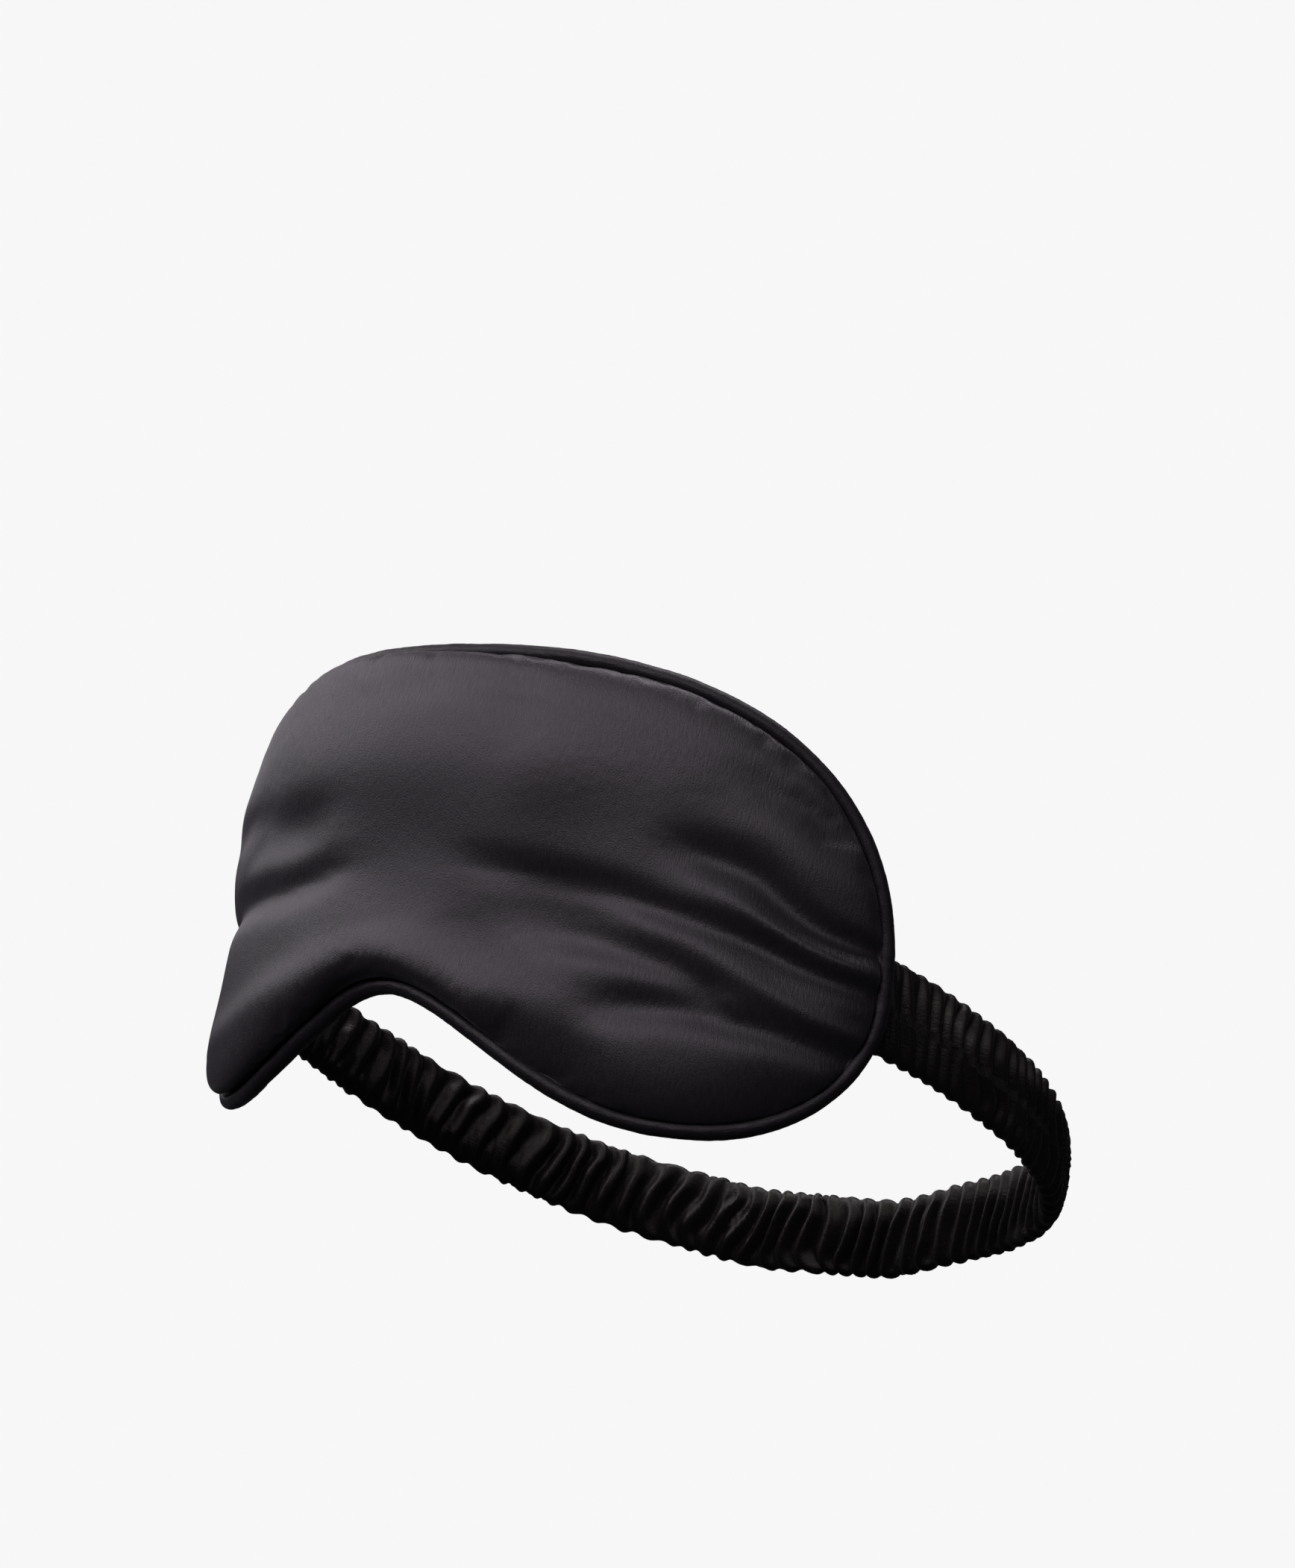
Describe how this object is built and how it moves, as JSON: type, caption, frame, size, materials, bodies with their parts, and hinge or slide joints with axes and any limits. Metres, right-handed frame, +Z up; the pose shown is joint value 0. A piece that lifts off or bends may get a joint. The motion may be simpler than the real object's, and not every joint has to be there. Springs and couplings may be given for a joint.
{
  "type": "sleep eye mask",
  "caption": "Padded satin sleep eye mask with a corded edge, a notch for the nose and a gathered elastic band that goes round the head.",
  "frame": {"origin": "on the eye side of the mask, in its middle, at the level of the eyes", "axes": "+Z up the mask towards its upper edge, +Y from the mask towards the back of the wearer's head, +X towards the wearer's left; the mask and the band are shown in the shape they have when worn"},
  "size_m": [0.1912, 0.1795, 0.1125],
  "materials": {
    "black_silk": "satin",
    "silk_wadding": "matt",
    "blackout_lining": "matt",
    "cotton_cord": "matt",
    "woven_elastic": "matt",
    "polyester_thread": "semi-gloss"
  },
  "bodies": {
    "mask": {"front_panel": "black_silk", "front_filler": "silk_wadding", "blackout_liner": "blackout_lining", "back_filler": "silk_wadding", "back_panel": "black_silk", "piping_strip": "black_silk", "piping_cord": "cotton_cord", "perimeter_seam_thread": "polyester_thread", "bar_tack_right": "polyester_thread", "bar_tack_left": "polyester_thread"},
    "band_ends": {"end_stitches_right": "polyester_thread", "end_stitches_left": "polyester_thread"},
    "band": {"band_tube": "black_silk", "band_elastic": "woven_elastic", "band_seam_thread": "polyester_thread"}
  },
  "joints": [
    {"name": "band_swing", "type": "hinge", "parent": "mask", "child": "band_ends", "pos_m": [0, 0.04398, -0.0122], "axis": [1, 0, 0], "range_deg": [-45, 45]},
    {"name": "band_stretch", "type": "slide", "parent": "band_ends", "child": "band", "axis": [0, 1, 0], "range_m": [0, 0.06], "stiffness_N_per_m": 60, "deforming": ["band_tube", "band_elastic", "band_seam_thread"]}
  ]
}
